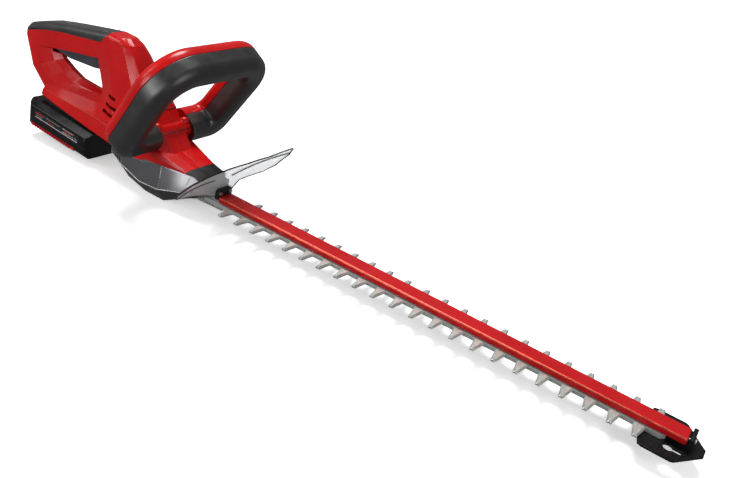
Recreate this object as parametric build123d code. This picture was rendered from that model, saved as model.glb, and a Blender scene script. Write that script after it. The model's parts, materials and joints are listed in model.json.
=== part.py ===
from build123d import *
import math
import os

# Cordless hedge trimmer, millimetres.
# Working frame: +X along the cutter bar, Y across it, +Z up and square to the blades.
# X = 0 is the first tooth on the -Y side, Z = 0 is the plane between the two blades.
# Everything is moved at the end so that the origin is the centre of the footprint.

# ---- cutter bar ----
TOOTH_PITCH = 25.0
TOOTH_COUNT = 22
TOOTH_TIP_Y = 33.0
TOOTH_ROOT_WIDTH = 12.5
TOOTH_TIP_WIDTH = 4.8
BLADE_HALF_WIDTH = 13.0
BLADE_END_X = 550.0
BLADE_THICKNESS = 2.2
RUNNING_GAP = 0.3
UPPER_BLADE_Z = RUNNING_GAP / 2
LOWER_BLADE_Z = -RUNNING_GAP / 2 - BLADE_THICKNESS
BLADE_STROKE = 6.25
BLADE_BOLT_X = [62.5, 187.5, 312.5, 437.5, 536.0]
BOLT_RADIUS = 3.0
BOLT_HEAD_RADIUS = 5.2
CARRIER_HALF_WIDTH = 9.2
CARRIER_TOP = 6.0
COVER_START_X = -22.0
COVER_END_X = 568.0
COVER_HALF_WIDTH = 11.3
COVER_TOP = 10.0
COVER_WALL = 1.6
COVER_EDGE_Z = 3.2
TIP_PLATE_THICKNESS = 2.4
TIP_NOSE_X = 587.0
TIP_SCREW_Z = 4.4
KEYHOLE = (555.5, -18.0)
KEYHOLE_RADIUS = 5.0
KEYHOLE_SLOT_RADIUS = 2.5
KEYHOLE_SLOT_LENGTH = 11.0

# ---- drive ----
GEAR_MODULE = 1.0
GEAR_TEETH = 52
PINION_TEETH = 13
GEAR_BACKLASH = 0.35
GEAR_X = -117.5
GEAR_BOTTOM = 5.0
GEAR_TOP = 12.0
HUB_RADIUS = 6.0
AXLE_RADIUS = 4.0
ECCENTRIC_RADIUS = 13.0
YOKE_WALL = 4.5
MOTOR_RADIUS = 18.0
MOTOR_BOTTOM = 16.5
MOTOR_TOP = 62.0
SHAFT_RADIUS = 1.6
PLATE_BOTTOM = 13.3

# ---- battery, built level and then tilted nose down with its rails ----
BATTERY_CENTRE = (-294.0, 0.0, 3.2)
BATTERY_TILT = 4.5
BATTERY_LENGTH = 124.0
BATTERY_HALF_WIDTH = 38.5
BATTERY_BOTTOM = -16.0
BATTERY_SHOULDER = 13.5
BATTERY_TOP = 21.0
BATTERY_SPLIT = -2.0
BATTERY_WALL = 3.0
BATTERY_CORNER = 9.0
RAIL_HALF_WIDTH = 19.0
RAIL_TOP = 27.0
RAIL_SETBACK = 24.0
CELL_RADIUS = 9.1
CELL_LENGTH = 65.0
SLIDE_CLEARANCE = 0.4

# ---- rear D handle ----
GRIP_HALF_WIDTH = 17.0
GRIP_SKIN = 3.6
TRIGGER_HALF_WIDTH = 8.5
TRIGGER_PIVOT = (-343.0, 106.0)

# ---- front hoop handle, drawn in its own leaning plane ----
HOOP_FOOT = (-129.0, 59.0)
HOOP_LEAN = 32.3
HOOP_DEPTH = 44.5
HOOP_HEIGHT = 129.5
HOOP_BAR = 33.0
HOOP_END_Y = 27.0
HOOP_SPLIT = -5.5

# ---- hand guard ----
GUARD_THICKNESS = 2.6
GUARD_CENTRE_X = -29.0
GUARD_TIP_X = -5.0
GUARD_HALF_WIDTH = 106.0
GUARD_SCREW_Y = 8.5
GUARD_SCREW_Z = 14.0

MOTOR_X = GEAR_X - GEAR_MODULE * (GEAR_TEETH + PINION_TEETH) / 2
HOOP_PLANE = Plane(
    origin=(HOOP_FOOT[0], 0, HOOP_FOOT[1]),
    x_dir=(0, 1, 0),
    z_dir=(math.cos(math.radians(HOOP_LEAN)), 0, -math.sin(math.radians(HOOP_LEAN))),
)
BATTERY_FRAME = Location(BATTERY_CENTRE, (0, BATTERY_TILT, 0))


# ---------------------------------------------------------------- helpers
def box(x0, x1, y0, y1, z0, z1):
    """A box between two corners."""
    centre = Pos((x0 + x1) / 2, (y0 + y1) / 2, (z0 + z1) / 2)
    return centre * Box(x1 - x0, y1 - y0, z1 - z0)


def post(x, y, z0, z1, radius):
    """An upright cylinder."""
    return Pos(x, y, (z0 + z1) / 2) * Cylinder(radius, z1 - z0)


def side_prism(points, y0, y1):
    """A prism whose outline is drawn in X and Z and which runs from y0 to y1."""
    outline = make_face(Polyline([(x, 0, z) for x, z in points], close=True))
    return Pos(0, y0, 0) * extrude(outline, amount=y1 - y0, dir=(0, 1, 0))


def plan_prism(points, z0, z1):
    """A prism whose outline is drawn in X and Y and which runs from z0 to z1."""
    outline = make_face(Polyline([(x, y, z0) for x, y in points], close=True))
    return extrude(outline, amount=z1 - z0, dir=(0, 0, 1))


def cross_prism(half, x0, x1):
    """A prism whose symmetric outline is drawn in Y and Z, from its +Y half, and runs from x0 to x1."""
    ring = [(x0, y, z) for y, z in half] + [(x0, -y, z) for y, z in reversed(half)]
    return extrude(make_face(Polyline(ring, close=True)), amount=x1 - x0, dir=(1, 0, 0))


def mirrored(half):
    """A closed, left-right symmetric list from its +Y half."""
    return half + [(a, -b) for a, b in reversed(half)]


def loft_along_x(stations):
    """A faceted solid through sections given as (x, [(y, z) from the bottom to the top])."""
    faces = []
    for x, half in stations:
        ring = [(x, y, z) for y, z in half] + [(x, -y, z) for y, z in reversed(half)]
        faces.append(make_face(Polyline(ring, close=True)))
    return loft(faces, ruled=True)


def loft_along_z(stations):
    """A faceted solid through sections given as (z, [(x, y) from the front to the rear])."""
    faces = []
    for z, half in stations:
        ring = [(x, y, z) for x, y in half] + [(x, -y, z) for x, y in reversed(half)]
        faces.append(make_face(Polyline(ring, close=True)))
    return loft(faces, ruled=True)


def inset(values, wall):
    """Each value moved towards the middle of its list by a wall thickness."""
    middle = (min(values) + max(values)) / 2
    return [v + wall if v < middle else v - wall for v in values]


def inset_stations(stations, wall, y_first):
    """Loft sections pulled in by a wall; y_first says that each point starts with its Y."""
    inner = []
    for place, half in stations:
        ys = [point[0] if y_first else point[1] for point in half]
        others = [point[1] if y_first else point[0] for point in half]
        ys = [max(y - wall, 1.0) for y in ys]
        others = inset(others, wall)
        inner.append((place, list(zip(ys, others)) if y_first else list(zip(others, ys))))
    return inner


# ---------------------------------------------------------------- blades and drive
def tooth_outline(x, side):
    """One tooth on side +1 or -1 of the blade."""
    root = BLADE_HALF_WIDTH
    half_root = TOOTH_ROOT_WIDTH / 2
    half_tip = TOOTH_TIP_WIDTH / 2
    points = [
        (x - half_root, root),
        (x - half_tip, TOOTH_TIP_Y),
        (x + half_tip, TOOTH_TIP_Y),
        (x + half_root, root),
    ]
    return [(px, side * py) for px, py in points]


def blade(z0):
    """The back of a double-sided blade, with its yoke head and its slots for the bolts."""
    z1 = z0 + BLADE_THICKNESS
    yoke_x = ECCENTRIC_RADIUS + 2 * BLADE_STROKE + RUNNING_GAP
    yoke_y = ECCENTRIC_RADIUS + BLADE_STROKE + RUNNING_GAP
    head_x = yoke_x + YOKE_WALL
    head_y = yoke_y + YOKE_WALL
    body = [
        (GEAR_X - head_x, head_y - 8),
        (GEAR_X - head_x + 8, head_y),
        (GEAR_X + head_x - 8, head_y),
        (GEAR_X + head_x + 12, BLADE_HALF_WIDTH),
        (BLADE_END_X - 4, BLADE_HALF_WIDTH),
        (BLADE_END_X, BLADE_HALF_WIDTH - 4),
    ]
    solid = plan_prism(mirrored(body), z0, z1)
    opening = Pos(GEAR_X, 0, z0) * extrude(
        RectangleRounded(2 * yoke_x, 2 * yoke_y, ECCENTRIC_RADIUS), amount=BLADE_THICKNESS
    )
    solid -= opening
    slot_radius = BOLT_RADIUS + RUNNING_GAP
    slot_length = 2 * (BLADE_STROKE + slot_radius + RUNNING_GAP)
    for x in BLADE_BOLT_X:
        slot = SlotOverall(slot_length, 2 * slot_radius)
        solid -= Pos(x, 0, z0) * extrude(slot, amount=BLADE_THICKNESS)
    return solid


def blade_teeth(z0):
    """The teeth along both edges of a blade, the two sides half a pitch apart."""
    teeth = []
    for index in range(TOOTH_COUNT):
        near = tooth_outline(index * TOOTH_PITCH, -1)
        far = tooth_outline((index + 0.5) * TOOTH_PITCH, 1)
        teeth.append(plan_prism(near, z0, z0 + BLADE_THICKNESS))
        teeth.append(plan_prism(far, z0, z0 + BLADE_THICKNESS))
    return Compound(children=teeth)


def involute_gear(teeth, bottom, top, bore, phase):
    """A spur gear with straight-sided involute flanks drawn by formula; phase is in degrees."""
    pitch_radius = GEAR_MODULE * teeth / 2
    base_radius = pitch_radius * math.cos(math.radians(20))
    outer = pitch_radius + GEAR_MODULE * 0.95
    root = pitch_radius - GEAR_MODULE * 1.2
    half_angle = math.pi / (2 * teeth) - GEAR_BACKLASH / (2 * pitch_radius)
    involute = math.tan(math.radians(20)) - math.radians(20)

    def flank(radius):
        if radius <= base_radius:
            return half_angle + involute
        pressure = math.acos(base_radius / radius)
        return half_angle + involute - (math.tan(pressure) - pressure)

    low = max(root, base_radius)
    lower_flank = (low + pitch_radius) / 2 + 0.1
    upper_flank = (pitch_radius + outer) / 2
    radii = [root, low + 0.15, lower_flank, pitch_radius, upper_flank, outer]
    ring = []
    for index in range(teeth):
        centre = math.radians(phase) + 2 * math.pi * index / teeth
        for radius in radii:
            ring.append((radius, centre - flank(radius)))
        for radius in reversed(radii):
            ring.append((radius, centre + flank(radius)))
    points = [(radius * math.cos(angle), radius * math.sin(angle)) for radius, angle in ring]
    solid = plan_prism(points, bottom, top)
    return solid - post(0, 0, bottom, top, bore)


def drive_gear():
    gear = involute_gear(GEAR_TEETH, GEAR_BOTTOM, GEAR_TOP, AXLE_RADIUS + 0.05, 180.0 / GEAR_TEETH)
    hub = post(0, 0, -RUNNING_GAP / 2 - BLADE_THICKNESS, GEAR_BOTTOM, HUB_RADIUS)
    gear += hub - post(0, 0, -10, GEAR_BOTTOM, AXLE_RADIUS + 0.05)
    holes = [post(16, 0, GEAR_BOTTOM, GEAR_TOP, 4.5).rotate(Axis.Z, turn) for turn in range(0, 360, 60)]
    for hole in holes:
        gear -= hole
    return Pos(GEAR_X, 0, 0) * gear


def eccentric(side):
    """One eccentric disc: +1 drives the upper blade, -1 the lower blade."""
    z0 = RUNNING_GAP / 2 if side > 0 else -RUNNING_GAP / 2 - BLADE_THICKNESS
    z1 = z0 + BLADE_THICKNESS
    disc = post(GEAR_X, side * BLADE_STROKE, z0, z1, ECCENTRIC_RADIUS)
    return disc - post(GEAR_X, 0, z0, z1, HUB_RADIUS)


def drive_pinion():
    pinion = involute_gear(PINION_TEETH, GEAR_BOTTOM + 0.2, GEAR_TOP, SHAFT_RADIUS, 0)
    return Pos(MOTOR_X, 0, 0) * pinion


def motor_can():
    can = post(MOTOR_X, 0, MOTOR_BOTTOM, MOTOR_TOP - 6, MOTOR_RADIUS)
    can -= post(MOTOR_X, 0, MOTOR_BOTTOM + 2, MOTOR_TOP - 6, MOTOR_RADIUS - 1.6)
    boss = post(MOTOR_X, 0, PLATE_BOTTOM + 0.2, MOTOR_BOTTOM, 6.0)
    return can + boss - post(MOTOR_X, 0, 0, MOTOR_TOP, SHAFT_RADIUS + 0.3)


def motor_end_cap():
    cap = post(MOTOR_X, 0, MOTOR_TOP - 6, MOTOR_TOP, MOTOR_RADIUS)
    for side in (-1, 1):
        cap += box(MOTOR_X - 3, MOTOR_X + 3, side * 12 - 3, side * 12 + 3, MOTOR_TOP, MOTOR_TOP + 5)
    return cap - post(MOTOR_X, 0, MOTOR_TOP - 6, MOTOR_TOP + 5, SHAFT_RADIUS + 0.3)


def motor_core():
    """The wound core that turns inside the can."""
    core = post(MOTOR_X, 0, MOTOR_BOTTOM + 8, MOTOR_TOP - 12, 11.0)
    for turn in range(0, 360, 72):
        groove = Pos(10, 0, (MOTOR_BOTTOM + MOTOR_TOP) / 2) * Box(5, 3, 40)
        core -= Pos(MOTOR_X, 0, 0) * groove.rotate(Axis.Z, turn)
    return core - post(MOTOR_X, 0, 0, MOTOR_TOP, SHAFT_RADIUS)


def motor_shaft():
    return post(MOTOR_X, 0, GEAR_BOTTOM - 0.2, MOTOR_TOP + 16, SHAFT_RADIUS)


def motor_fan():
    z0 = MOTOR_TOP + 7
    fan = post(0, 0, z0, z0 + 1.5, 15) + post(0, 0, z0, z0 + 8, 4)
    for turn in range(0, 360, 36):
        vane = Pos(9, 0, z0 + 4) * Box(11, 1.2, 7.6)
        fan += vane.rotate(Axis.Z, turn)
    fan -= post(0, 0, z0, z0 + 8, SHAFT_RADIUS)
    return Pos(MOTOR_X, 0, 0) * fan


def bearing_plate():
    """The plate over the gear that carries the motor and the top of the gear axle."""
    half = [(MOTOR_X - 20, 17), (MOTOR_X - 8, 25), (GEAR_X + 22, 25), (GEAR_X + 30, 14)]
    plate = plan_prism(mirrored(half), PLATE_BOTTOM, MOTOR_BOTTOM)
    plate -= post(MOTOR_X, 0, PLATE_BOTTOM, MOTOR_BOTTOM, 6.0)
    return plate - post(GEAR_X, 0, PLATE_BOTTOM, MOTOR_BOTTOM, AXLE_RADIUS)


def base_plate_block():
    z1 = -RUNNING_GAP * 1.5 - BLADE_THICKNESS
    half = [(GEAR_X - 36, 20), (GEAR_X - 28, 29), (GEAR_X + 30, 27), (-62, 15), (-14, 12)]
    return plan_prism(mirrored(half), z1 - 3.0, z1)


def base_plate():
    """The steel plate under the blade heads, reaching forward under the blade roots."""
    return base_plate_block() - post(GEAR_X, 0, -10, 0, AXLE_RADIUS)


def gear_axle():
    z0 = -RUNNING_GAP * 1.5 - BLADE_THICKNESS - 3.0
    return post(GEAR_X, 0, z0, MOTOR_BOTTOM, AXLE_RADIUS)


# ---------------------------------------------------------------- cutter bar pieces
def blade_carrier():
    """The flat steel bar that the blades run under."""
    z0 = RUNNING_GAP * 1.5 + BLADE_THICKNESS
    bar = box(-70, COVER_END_X - 4, -CARRIER_HALF_WIDTH, CARRIER_HALF_WIDTH, z0, CARRIER_TOP)
    for x in BLADE_BOLT_X:
        bar -= post(x, 0, z0, CARRIER_TOP, BOLT_RADIUS)
    return bar


def cover_bar():
    """The red channel over the carrier, with softly rounded long edges."""
    outer = box(COVER_START_X, COVER_END_X, -COVER_HALF_WIDTH, COVER_HALF_WIDTH, COVER_EDGE_Z, COVER_TOP)
    long_edges = outer.edges().filter_by(Axis.X).group_by(Axis.Z)[-1]
    outer = fillet(long_edges, 2.2)
    inner_half = COVER_HALF_WIDTH - COVER_WALL
    inner = box(COVER_START_X, COVER_END_X, -inner_half, inner_half, COVER_EDGE_Z, COVER_TOP - COVER_WALL)
    return outer - inner


def blade_bolts():
    """Shoulder bolts from below: the blades slide on their shanks."""
    head_top = -RUNNING_GAP * 1.5 - BLADE_THICKNESS
    bolts = []
    for x in BLADE_BOLT_X:
        bolt = post(x, 0, head_top, CARRIER_TOP, BOLT_RADIUS)
        bolt += post(x, 0, head_top - TIP_PLATE_THICKNESS, head_top, BOLT_HEAD_RADIUS)
        socket = Pos(x, 0, head_top - TIP_PLATE_THICKNESS) * extrude(RegularPolygon(2.3, 6), amount=1.6)
        bolts.append(bolt - socket)
    return Compound(children=bolts)


def tip_protector():
    """The home-plate shaped guard at the bar's end, with its hanging keyhole."""
    z1 = -RUNNING_GAP * 1.5 - BLADE_THICKNESS
    z0 = z1 - TIP_PLATE_THICKNESS
    half = [(528, 7), (526, 20), (530, 34), (534, 35.5), (562, 35.5), (565, 34), (582, 12), (TIP_NOSE_X, 6)]
    plate = plan_prism(mirrored(half), z0, z1)
    plate -= post(BLADE_BOLT_X[-1], 0, z0, z1, BOLT_HEAD_RADIUS + RUNNING_GAP)
    key_x, key_y = KEYHOLE
    plate -= post(key_x, key_y, z0, z1, KEYHOLE_RADIUS)
    slot_end = key_x + KEYHOLE_SLOT_LENGTH
    plate -= box(key_x, slot_end, key_y - KEYHOLE_SLOT_RADIUS, key_y + KEYHOLE_SLOT_RADIUS, z0, z1)
    plate -= post(slot_end, key_y, z0, z1, KEYHOLE_SLOT_RADIUS)
    spine = box(570, 574, -12, 12, z1, COVER_TOP + 1.5)
    return plate + spine - Pos(572, 0, TIP_SCREW_Z) * Cylinder(1.5, 6, rotation=(0, 90, 0))


def tip_screw():
    """The screw that pulls the tip protector's post to the carrier's end."""
    shank = Pos(569.5, 0, TIP_SCREW_Z) * Cylinder(1.5, 9, rotation=(0, 90, 0))
    head = Pos(575, 0, TIP_SCREW_Z) * Cylinder(3.2, 2, rotation=(0, 90, 0))
    return shank + head


# ---------------------------------------------------------------- battery
def level_battery_block():
    """The outside of the pack, level and centred, before it is divided."""
    end = BATTERY_LENGTH / 2
    section = [
        (BATTERY_HALF_WIDTH - 4, BATTERY_BOTTOM),
        (BATTERY_HALF_WIDTH, BATTERY_BOTTOM + 4),
        (BATTERY_HALF_WIDTH, BATTERY_SHOULDER),
        (30, BATTERY_TOP),
    ]
    block = cross_prism(section, -end, end)
    block = fillet(block.edges().filter_by(Axis.X), 1.5)
    return block & pack_prism(0, BATTERY_BOTTOM - 1, BATTERY_TOP + 1)


def pack_prism(inset, bottom, top):
    """A prism with the pack's rounded plan, moved in from its sides by inset."""
    length = BATTERY_LENGTH - 2 * inset
    width = 2 * (BATTERY_HALF_WIDTH - inset)
    plan = RectangleRounded(length, width, BATTERY_CORNER - inset)
    return Pos(0, 0, bottom) * extrude(plan, amount=top - bottom)


def level_rails(x0, x1, extra=0.0):
    """The T-shaped rails on top of the pack; extra widens them into the slot that holds them."""
    stem = box(x0, x1, -14 - extra, 14 + extra, BATTERY_TOP - 1, RAIL_TOP + extra)
    half = RAIL_HALF_WIDTH + extra
    wings = box(x0, x1, -half, half, RAIL_TOP - 3 - extra, RAIL_TOP + extra)
    return stem + wings


def battery_case_lower():
    """The lower half of the pack, a tray."""
    end = BATTERY_LENGTH / 2
    tray = level_battery_block() & box(-end, end, -40, 40, BATTERY_BOTTOM - 1, BATTERY_SPLIT)
    tray -= pack_prism(BATTERY_WALL, BATTERY_BOTTOM + 2.6, BATTERY_SPLIT)
    for side in (-1, 1):
        y0, y1 = sorted((side * (BATTERY_HALF_WIDTH - 2.0), side * 42))
        tray -= box(-end + 8, end - 26, y0, y1, BATTERY_BOTTOM - 1, BATTERY_BOTTOM + 6)
    return BATTERY_FRAME * tray


def battery_case_upper():
    """The upper half with the rails, open underneath."""
    end = BATTERY_LENGTH / 2
    shell = level_battery_block() & box(-end, end, -40, 40, BATTERY_SPLIT, BATTERY_TOP + 1)
    shell += level_rails(-end + RAIL_SETBACK, end - 3)
    shell -= pack_prism(BATTERY_WALL, BATTERY_SPLIT, BATTERY_SHOULDER - 0.5)
    shell -= box(-end + BATTERY_WALL, end - BATTERY_WALL, -26, 26, BATTERY_SPLIT, BATTERY_TOP - 2.5)
    shell -= button_block(RUNNING_GAP, 4.0)
    for y in (-8, 8):
        shell -= box(end - 24, end, y - 1.2, y + 1.2, BATTERY_TOP - 3, RAIL_TOP + 1)
    return BATTERY_FRAME * shell


def battery_side_ribs():
    """The two ribbed strips let into the lower edges of the pack."""
    end = BATTERY_LENGTH / 2
    strips = []
    for side in (-1, 1):
        y0, y1 = sorted((side * (BATTERY_HALF_WIDTH - 2.0), side * (BATTERY_HALF_WIDTH - 0.6)))
        strip = box(-end + 8, end - 26, y0, y1, BATTERY_BOTTOM + 1.2, BATTERY_BOTTOM + 6)
        for index in range(16):
            x = -end + 12 + index * 5
            z0 = BATTERY_BOTTOM + 1.2
            ribs = sorted((side * (BATTERY_HALF_WIDTH - 0.8), side * (BATTERY_HALF_WIDTH + 0.4)))
            strip += box(x, x + 2.4, ribs[0], ribs[1], z0, z0 + 4.2)
        strips.append(strip)
    return BATTERY_FRAME * Compound(children=strips)


def button_block(extra, travel):
    """The release button at the rear of the pack; travel extends its pocket forward."""
    end = BATTERY_LENGTH / 2
    half = 13 + extra
    top = BATTERY_TOP + 0.6 + extra
    return box(-end - 1 - extra, -end + 10 + extra + travel, -half, half, 14 - extra, top)


def battery_release_button():
    button = fillet(button_block(0, 0).edges().filter_by(Axis.Y), 1.5)
    return BATTERY_FRAME * button


def battery_cells():
    cells = []
    for index in range(5):
        x = (index - 2) * (2 * CELL_RADIUS + 0.6)
        z = BATTERY_BOTTOM + 3.2 + CELL_RADIUS
        cells.append(Pos(x, 0, z) * Cylinder(CELL_RADIUS, CELL_LENGTH, rotation=(90, 0, 0)))
    return BATTERY_FRAME * Compound(children=cells)


def battery_board():
    z0 = BATTERY_BOTTOM + 4.0 + 2 * CELL_RADIUS
    return BATTERY_FRAME * box(-40, 45, -24, 24, z0, z0 + 1.6)


def battery_contacts():
    """The two sprung sockets under the rail block's slots."""
    end = BATTERY_LENGTH / 2
    board_top = BATTERY_BOTTOM + 5.6 + 2 * CELL_RADIUS
    sockets = []
    for y in (-8, 8):
        socket = box(end - 20, end - 8, y - 2.4, y + 2.4, board_top, BATTERY_TOP - 2.8)
        sockets.append(socket - box(end - 20, end - 8, y - 1.2, y + 1.2, board_top + 2, BATTERY_TOP))
    return BATTERY_FRAME * Compound(children=sockets)


# ---------------------------------------------------------------- housing
GRIP_OUTLINE = [
    (-336, 32), (-364, 51), (-378, 64), (-392, 106), (-390, 116), (-382, 124), (-344.5, 135.5), (-300, 144),
    (-253.5, 151.7), (-225, 156), (-205, 155), (-190, 148), (-190, 60), (-215, 30),
]
GRIP_OPENING = [
    (-334, 99), (-326, 89), (-308, 80), (-289, 73), (-246, 70), (-236, 78), (-238, 97), (-243, 117),
    (-300, 107.5),
]
GRIP_RIM = [
    (-365, 98), (-362, 72), (-342, 59), (-320, 51), (-238, 57), (-224, 68), (-227, 97), (-236, 119),
    (-300, 109.5),
]
OVERMOULD_EDGE = [
    (-420, 101), (-392, 109), (-376, 115.5), (-346, 124), (-316, 130), (-277, 135), (-239, 140), (-222, 160),
    (-222, 180), (-420, 180),
]
TORSO = [
    (-345, [(20, 31), (24, 36), (22, 42), (17, 48), (8, 52)]),
    (-310, [(26, 32), (30, 34), (26, 44), (18, 55), (8, 66)]),
    (-233, [(26, 21), (32, 24), (28, 43), (19, 60), (9, 68)]),
    (-200, [(28, 16), (34, 22), (33, 48), (29, 62), (14, 72)]),
    (-150, [(30, 14), (36, 20), (35, 42), (31, 55), (14, 62)]),
    (-113, [(32, 18), (34.5, 22), (33.5, 34), (32.3, 41), (14, 42)]),
    (-66, [(22, 21), (25, 25), (25, 27.5), (23.7, 29.9), (10, 30.6)]),
]
NECK = [
    (34, [(-96.5, 14.2), (-110, 30), (-135, 33), (-215, 31), (-235, 24)]),
    (60, [(-115, 17.5), (-126, 27), (-150, 30), (-205, 29), (-232, 18)]),
    (84, [(-132, 15), (-140, 22), (-160, 26), (-205, 25), (-234, 16)]),
    (115, [(-157, 10), (-164, 17), (-179, 22), (-215, 22), (-243, 16)]),
    (138, [(-176, 8), (-181, 14), (-193, 18), (-220, 19), (-248, 16)]),
    (149, [(-188, 7), (-192, 12), (-201, 16), (-221, 17), (-245, 14)]),
    (155, [(-199, 4), (-202, 8), (-208, 11), (-222, 11), (-238, 9)]),
]
GEARCASE = [
    (-192, [(22, -2), (33, 12), (33, 24)]),
    (-168, [(24, -17), (37, 3), (36, 25)]),
    (-133, [(26, -24), (38, -7), (35, 25)]),
    (-100, [(26, -24), (38, -5), (34, 27)]),
    (-60, [(22, -5), (34, 6), (25, 27)]),
    (-44, [(16, 0), (21.6, 24), (20, 25.5)]),
]
NOSE_BAND = [
    (-66, [(18, 17), (24.6, 22), (24.6, 27.9), (23.7, 30.2), (10, 30.9)]),
    (-44, [(16, 17), (21, 21), (21.6, 25.6), (20.6, 27.3), (10, 27.8)]),
]
GEAR_WELL = [(MOTOR_X - 26, 28), (GEAR_X, 29), (GEAR_X + 22, 25), (GEAR_X + 33, 19)]
SCREWS = [(-376, 88, 15), (-340, 50, 15), (-268, 52, 17), (-228, 138, 15), (-207, 104, 22), (-234, 45, 22)]
SCREW_BOSS_RADIUS = 4.6
VENTS = [(-205, 78.5, 15, 7), (-203, 66, 28, 4), (-205, 56, 32, 3)]
VENT_WIDTH = 4.4
WALL = 3.2


def grip_ring(inner_shift, half_width):
    """The hollow that runs round inside the D, kept a wall away from its outline and opening."""
    outer = offset(make_face(Polyline([(x, 0, z) for x, z in GRIP_OUTLINE], close=True)), -GRIP_SKIN)
    inner = offset(make_face(Polyline([(x, 0, z) for x, z in GRIP_OPENING], close=True)), inner_shift)
    return Pos(0, -half_width, 0) * extrude(outer - inner, amount=2 * half_width, dir=(0, 1, 0))


def grip_opening():
    """The hand opening: narrow at the middle and flared to its rims, so the D is rounded inside."""
    waist = side_prism(GRIP_OPENING, -3, 3)
    for side in (-1, 1):
        faces = []
        for share, y in ((0, 3), (0.3, 10), (1, GRIP_HALF_WIDTH + 0.5)):
            ring = [
                (ax + share * (bx - ax), side * y, az + share * (bz - az))
                for (ax, az), (bx, bz) in zip(GRIP_OPENING, GRIP_RIM)
            ]
            faces.append(make_face(Polyline(ring, close=True)))
        waist += loft(faces, ruled=True)
    return waist


def grip_block():
    """The D handle as one block with rounded outer edges."""
    block = side_prism(GRIP_OUTLINE, -GRIP_HALF_WIDTH, GRIP_HALF_WIDTH)
    block = fillet(block.edges().filter_by(Axis.Y).filter_by(lambda e: e.center().Z > 60), 8)
    outer = [e for e in block.edges() if e.center().Z > 60 and abs(abs(e.center().Y) - GRIP_HALF_WIDTH) < 0.01
             and e.center().X < -192]
    return fillet(outer, 9) - grip_opening()


def housing_bosses():
    """The knuckles where the hoop's feet leave the body, each with a dome above it."""
    knuckles = along_y(Pos(HOOP_FOOT[0] + 3, 0, HOOP_FOOT[1] - 1), -HOOP_END_Y, HOOP_END_Y, 12.5)
    domes = [Pos(HOOP_FOOT[0] + 6, y, HOOP_FOOT[1] + 8) * Sphere(6.5) for y in (-23, 23)]
    return knuckles + domes


def trigger_slot():
    """The slot in the grip that the trigger swings in."""
    half = TRIGGER_HALF_WIDTH + 0.6
    return side_prism([(-353, 96), (-238.6, 90), (-238.6, 133), (-262, 133), (-353, 113)], -half, half)


def switch_pocket():
    return box(-293, -265, -8.5, 8.5, 124, 139.5)


def screw_places():
    """Each housing screw as (place on the joint plane, reach from it)."""
    return [(Pos(x, 0, z), reach) for x, z, reach in SCREWS]


def along_y(place, y0, y1, radius):
    """A cylinder along Y through a place on the joint plane."""
    return place * Pos(0, (y0 + y1) / 2, 0) * Cylinder(radius, y1 - y0, rotation=(90, 0, 0))


def housing_shell():
    """Both halves of the red housing together, hollow, before they are parted."""
    block = grip_block() + loft_along_x(TORSO) + loft_along_z(NECK) + housing_bosses()
    shell = block - grip_ring(GRIP_SKIN, 4) - grip_ring(24, GRIP_HALF_WIDTH - 5)
    shell -= loft_along_x(inset_stations(TORSO[:5], WALL, True)) & box(-338, 0, -60, 60, 0, 100)
    shell -= loft_along_z(inset_stations(NECK, WALL, False)) & box(-420, 0, -60, 60, 0, 155 - WALL)
    shell -= plan_prism(mirrored(GEAR_WELL), 5, 34)
    for place, reach in screw_places():
        shell += along_y(place, -reach, reach, SCREW_BOSS_RADIUS) & block
        shell -= along_y(place, -reach + 4, reach, 1.5)
        shell -= along_y(place, reach - 5, reach + 14, 3.7)
    shell -= trigger_slot() + switch_pocket()
    shell -= along_y(Pos(TRIGGER_PIVOT[0], 0, TRIGGER_PIVOT[1]), -14, 14, 2.0)
    shell -= hoop_block()
    end = BATTERY_LENGTH / 2
    shell -= BATTERY_FRAME * (rail_shoe_box() + level_rails(-end - 20, end, SLIDE_CLEARANCE))
    shell -= BATTERY_FRAME * contact_pair(0.3)
    shell -= side_prism(OVERMOULD_EDGE, -40, 40)
    for x, z, length, slope in VENTS:
        shell -= Pos(x, 0, z) * Rot(0, slope, 0) * Box(length, 90, VENT_WIDTH)
    return shell


def housing_right(shell):
    return shell & box(-420, 0, -60, 0, -30, 180)


def housing_left(shell):
    return shell & box(-420, 0, 0, 60, -30, 180)


def rear_grip():
    """The soft black skin over the top of the grip, with three small ridges."""
    skin = grip_block() & side_prism(OVERMOULD_EDGE, -40, 40)
    skin -= grip_ring(GRIP_SKIN, 4) + grip_ring(24, GRIP_HALF_WIDTH - 5)
    skin -= switch_pocket()
    place, reach = screw_places()[3]
    skin -= along_y(place, -30, 30, SCREW_BOSS_RADIUS)
    for index in range(3):
        x = -322 + index * 5
        ridge = Pos(x, 0, 139.3 + index * 0.9) * Cylinder(1.3, 14, rotation=(90, 0, 0))
        skin += ridge
    return skin


def housing_screws():
    screws = Part()
    for place, reach in screw_places():
        shank = along_y(place, -reach + 6, reach - 5, 1.4)
        head = along_y(place, reach - 5, reach - 2.4, 3.4)
        cross = place * Pos(0, reach - 2.9, 0) * (Box(4.4, 1, 1) + Box(1, 1, 4.4))
        screws += shank + head - cross
    return screws


def gearcase_cover():
    """The faceted grey lower case, open above towards the housing."""
    outer = loft_along_x(GEARCASE)
    cover = outer - loft_along_x(TORSO) - loft_along_z(NECK) - loft_along_x(NOSE_BAND)
    inner = [(x + (4 if x < -180 else -4 if x > -50 else 0), half) for x, half in GEARCASE]
    cover -= loft_along_x(inset_stations(inner, WALL, True))
    cover -= plan_prism(mirrored(GEAR_WELL), 5, 40)
    cover -= box(-95, -30, -14.2, 14.2, -2.7, 12) + base_plate_block()
    cover -= hoop_block()
    for index in range(4):
        x = -188 + index * 5
        cover -= box(x, x + 1.6, -60, -32, -10, 12) + box(x, x + 1.6, 32, 60, -10, 12)
    return cover


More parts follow.
